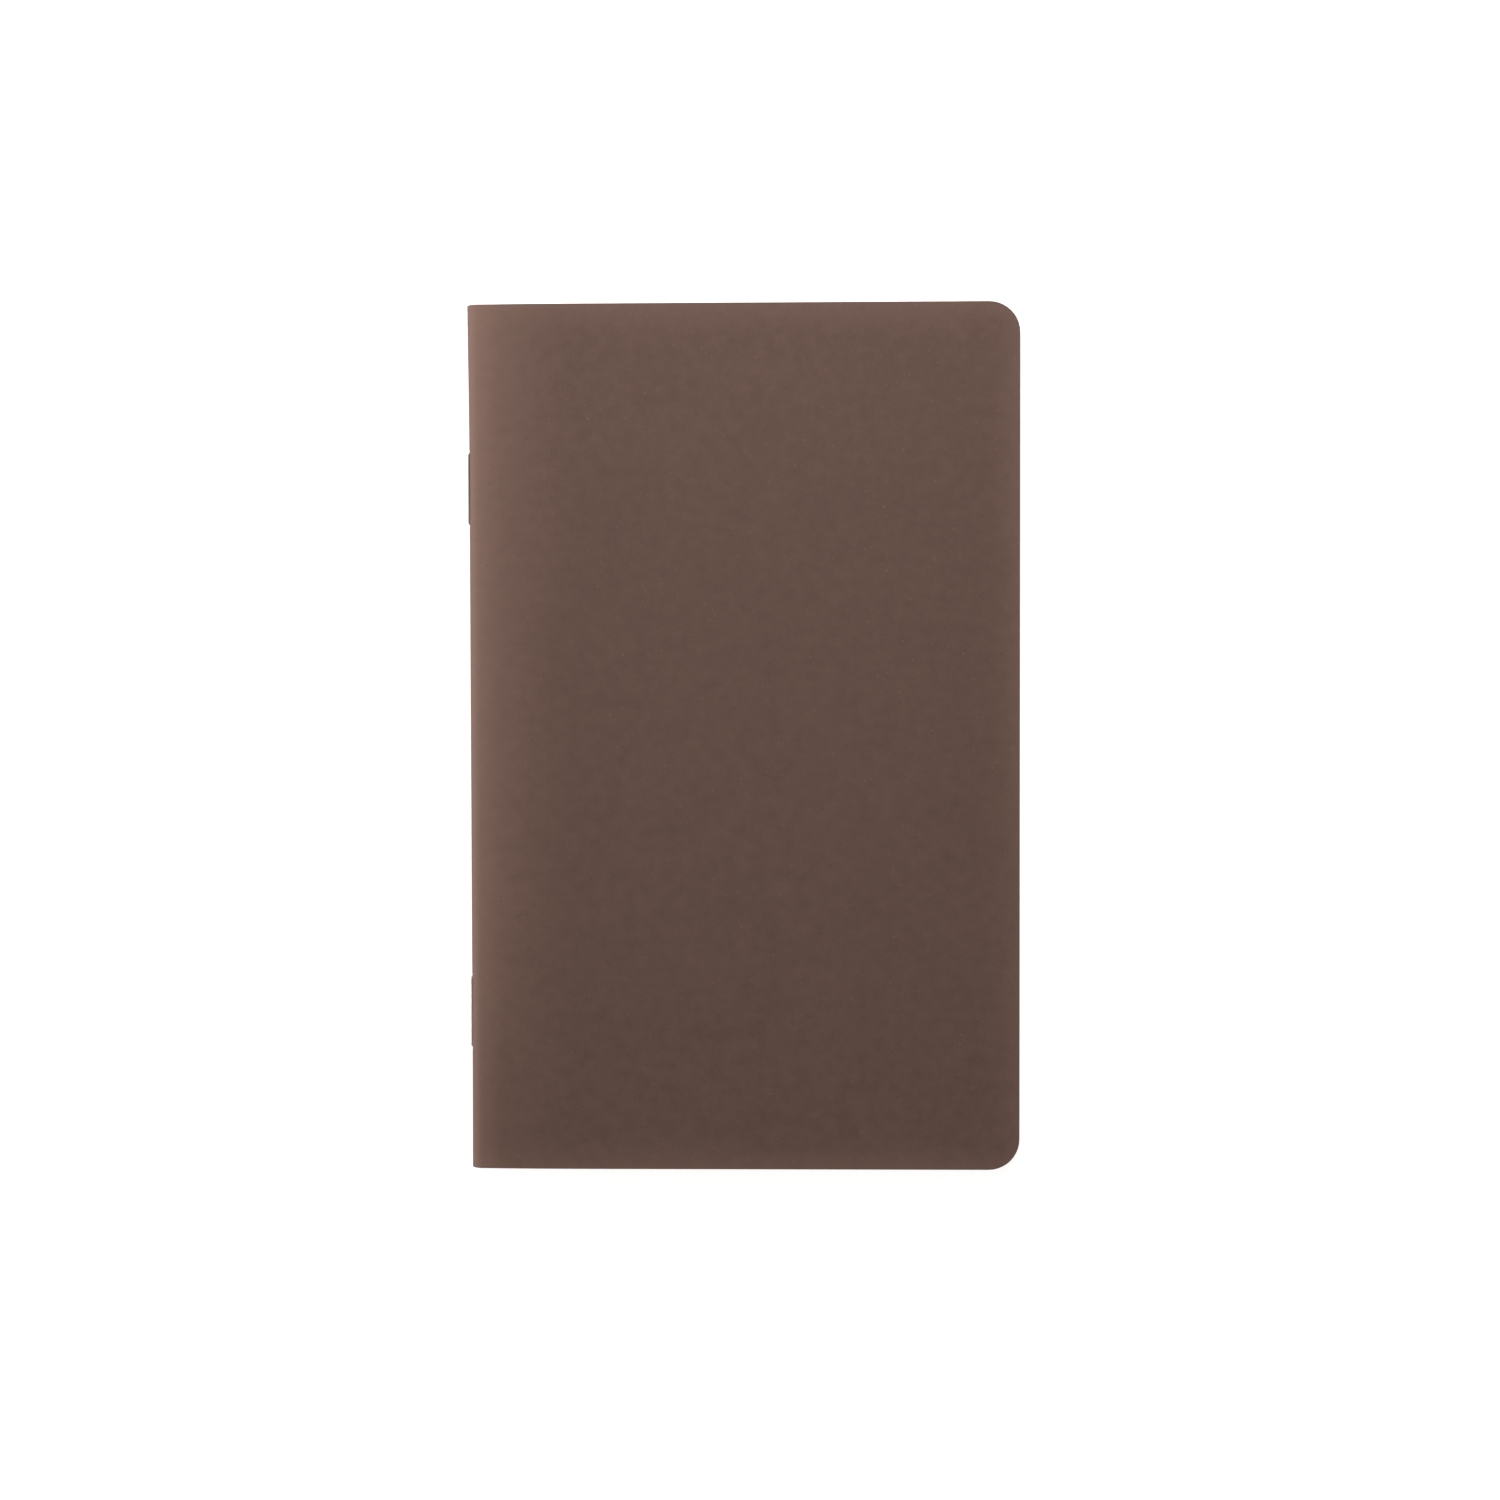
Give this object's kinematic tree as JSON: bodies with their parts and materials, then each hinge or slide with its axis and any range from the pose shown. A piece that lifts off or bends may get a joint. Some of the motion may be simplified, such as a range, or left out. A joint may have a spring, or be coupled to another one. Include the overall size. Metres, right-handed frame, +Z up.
{
  "type": "pocket notebook",
  "caption": "Slim pocket notebook: a folded card cover with rounded fore-edge corners round nested folded sheets, held by two wire staples through the spine.",
  "frame": {"origin": "middle of the closed notebook's base, under the back cover", "axes": "+Y towards the head of the page, +X from the spine to the fore edge, +Z up from the back cover to the front cover"},
  "size_m": [0.0892, 0.14, 0.0046],
  "materials": {
    "cover_card": "matte",
    "page_paper": "matte",
    "staple_wire": "satin"
  },
  "bodies": {
    "back_cover": {"back_cover": "cover_card", "sheet_01_back_leaf": "page_paper", "sheet_02_back_leaf": "page_paper", "sheet_03_back_leaf": "page_paper", "sheet_04_back_leaf": "page_paper", "sheet_05_back_leaf": "page_paper", "sheet_06_back_leaf": "page_paper", "sheet_07_back_leaf": "page_paper", "sheet_08_back_leaf": "page_paper", "sheet_09_back_leaf": "page_paper", "sheet_10_back_leaf": "page_paper", "sheet_11_back_leaf": "page_paper", "sheet_12_back_leaf": "page_paper"},
    "spine": {"cover_spine": "cover_card", "head_staple": "staple_wire", "tail_staple": "staple_wire", "sheet_01_fold": "page_paper", "sheet_02_fold": "page_paper", "sheet_03_fold": "page_paper", "sheet_04_fold": "page_paper", "sheet_05_fold": "page_paper", "sheet_06_fold": "page_paper", "sheet_07_fold": "page_paper", "sheet_08_fold": "page_paper", "sheet_09_fold": "page_paper", "sheet_10_fold": "page_paper", "sheet_11_fold": "page_paper", "sheet_12_fold": "page_paper"},
    "front_cover": {"front_cover": "cover_card"},
    "sheet_01_front": {"sheet_01_front_leaf": "page_paper"},
    "sheet_02_front": {"sheet_02_front_leaf": "page_paper"},
    "sheet_03_front": {"sheet_03_front_leaf": "page_paper"},
    "sheet_04_front": {"sheet_04_front_leaf": "page_paper"},
    "sheet_05_front": {"sheet_05_front_leaf": "page_paper"},
    "sheet_06_front": {"sheet_06_front_leaf": "page_paper"},
    "sheet_07_front": {"sheet_07_front_leaf": "page_paper"},
    "sheet_08_front": {"sheet_08_front_leaf": "page_paper"},
    "sheet_09_front": {"sheet_09_front_leaf": "page_paper"},
    "sheet_10_front": {"sheet_10_front_leaf": "page_paper"},
    "sheet_11_front": {"sheet_11_front_leaf": "page_paper"},
    "sheet_12_front": {"sheet_12_front_leaf": "page_paper"}
  },
  "joints": [
    {"name": "front_cover_turn", "type": "hinge", "parent": "back_cover", "child": "front_cover", "pos_m": [-0.04253, 0, 0.00229], "axis": [0, -1, 0], "range_deg": [0, 179.5]},
    {"name": "spine_turn", "type": "hinge", "parent": "back_cover", "child": "spine", "pos_m": [-0.04253, 0, 0.00229], "axis": [0, -1, 0], "range_deg": [0, 90]},
    {"name": "sheet_01_front_turn", "type": "hinge", "parent": "back_cover", "child": "sheet_01_front", "pos_m": [-0.04253, 0, 0.00229], "axis": [0, -1, 0], "range_deg": [0, 178.87]},
    {"name": "sheet_02_front_turn", "type": "hinge", "parent": "back_cover", "child": "sheet_02_front", "pos_m": [-0.04253, 0, 0.00229], "axis": [0, -1, 0], "range_deg": [0, 178.24]},
    {"name": "sheet_03_front_turn", "type": "hinge", "parent": "back_cover", "child": "sheet_03_front", "pos_m": [-0.04253, 0, 0.00229], "axis": [0, -1, 0], "range_deg": [0, 177.62]},
    {"name": "sheet_04_front_turn", "type": "hinge", "parent": "back_cover", "child": "sheet_04_front", "pos_m": [-0.04253, 0, 0.00229], "axis": [0, -1, 0], "range_deg": [0, 176.99]},
    {"name": "sheet_05_front_turn", "type": "hinge", "parent": "back_cover", "child": "sheet_05_front", "pos_m": [-0.04253, 0, 0.00229], "axis": [0, -1, 0], "range_deg": [0, 176.36]},
    {"name": "sheet_06_front_turn", "type": "hinge", "parent": "back_cover", "child": "sheet_06_front", "pos_m": [-0.04253, 0, 0.00229], "axis": [0, -1, 0], "range_deg": [0, 175.73]},
    {"name": "sheet_07_front_turn", "type": "hinge", "parent": "back_cover", "child": "sheet_07_front", "pos_m": [-0.04253, 0, 0.00229], "axis": [0, -1, 0], "range_deg": [0, 175.1]},
    {"name": "sheet_08_front_turn", "type": "hinge", "parent": "back_cover", "child": "sheet_08_front", "pos_m": [-0.04253, 0, 0.00229], "axis": [0, -1, 0], "range_deg": [0, 174.47]},
    {"name": "sheet_09_front_turn", "type": "hinge", "parent": "back_cover", "child": "sheet_09_front", "pos_m": [-0.04253, 0, 0.00229], "axis": [0, -1, 0], "range_deg": [0, 173.85]},
    {"name": "sheet_10_front_turn", "type": "hinge", "parent": "back_cover", "child": "sheet_10_front", "pos_m": [-0.04253, 0, 0.00229], "axis": [0, -1, 0], "range_deg": [0, 173.22]},
    {"name": "sheet_11_front_turn", "type": "hinge", "parent": "back_cover", "child": "sheet_11_front", "pos_m": [-0.04253, 0, 0.00229], "axis": [0, -1, 0], "range_deg": [0, 172.59]},
    {"name": "sheet_12_front_turn", "type": "hinge", "parent": "back_cover", "child": "sheet_12_front", "pos_m": [-0.04253, 0, 0.00229], "axis": [0, -1, 0], "range_deg": [0, 171.96]}
  ],
  "couplings": [
    {"joint": "spine_turn", "follows": "front_cover_turn", "ratio": 0.5},
    {"joint": "sheet_01_front_turn", "follows": "front_cover_turn", "ratio": 0.9965},
    {"joint": "sheet_02_front_turn", "follows": "front_cover_turn", "ratio": 0.993},
    {"joint": "sheet_03_front_turn", "follows": "front_cover_turn", "ratio": 0.9895},
    {"joint": "sheet_04_front_turn", "follows": "front_cover_turn", "ratio": 0.986},
    {"joint": "sheet_05_front_turn", "follows": "front_cover_turn", "ratio": 0.9825},
    {"joint": "sheet_06_front_turn", "follows": "front_cover_turn", "ratio": 0.979},
    {"joint": "sheet_07_front_turn", "follows": "front_cover_turn", "ratio": 0.9755},
    {"joint": "sheet_08_front_turn", "follows": "front_cover_turn", "ratio": 0.972},
    {"joint": "sheet_09_front_turn", "follows": "front_cover_turn", "ratio": 0.9685},
    {"joint": "sheet_10_front_turn", "follows": "front_cover_turn", "ratio": 0.965},
    {"joint": "sheet_11_front_turn", "follows": "front_cover_turn", "ratio": 0.9615},
    {"joint": "sheet_12_front_turn", "follows": "front_cover_turn", "ratio": 0.958}
  ]
}
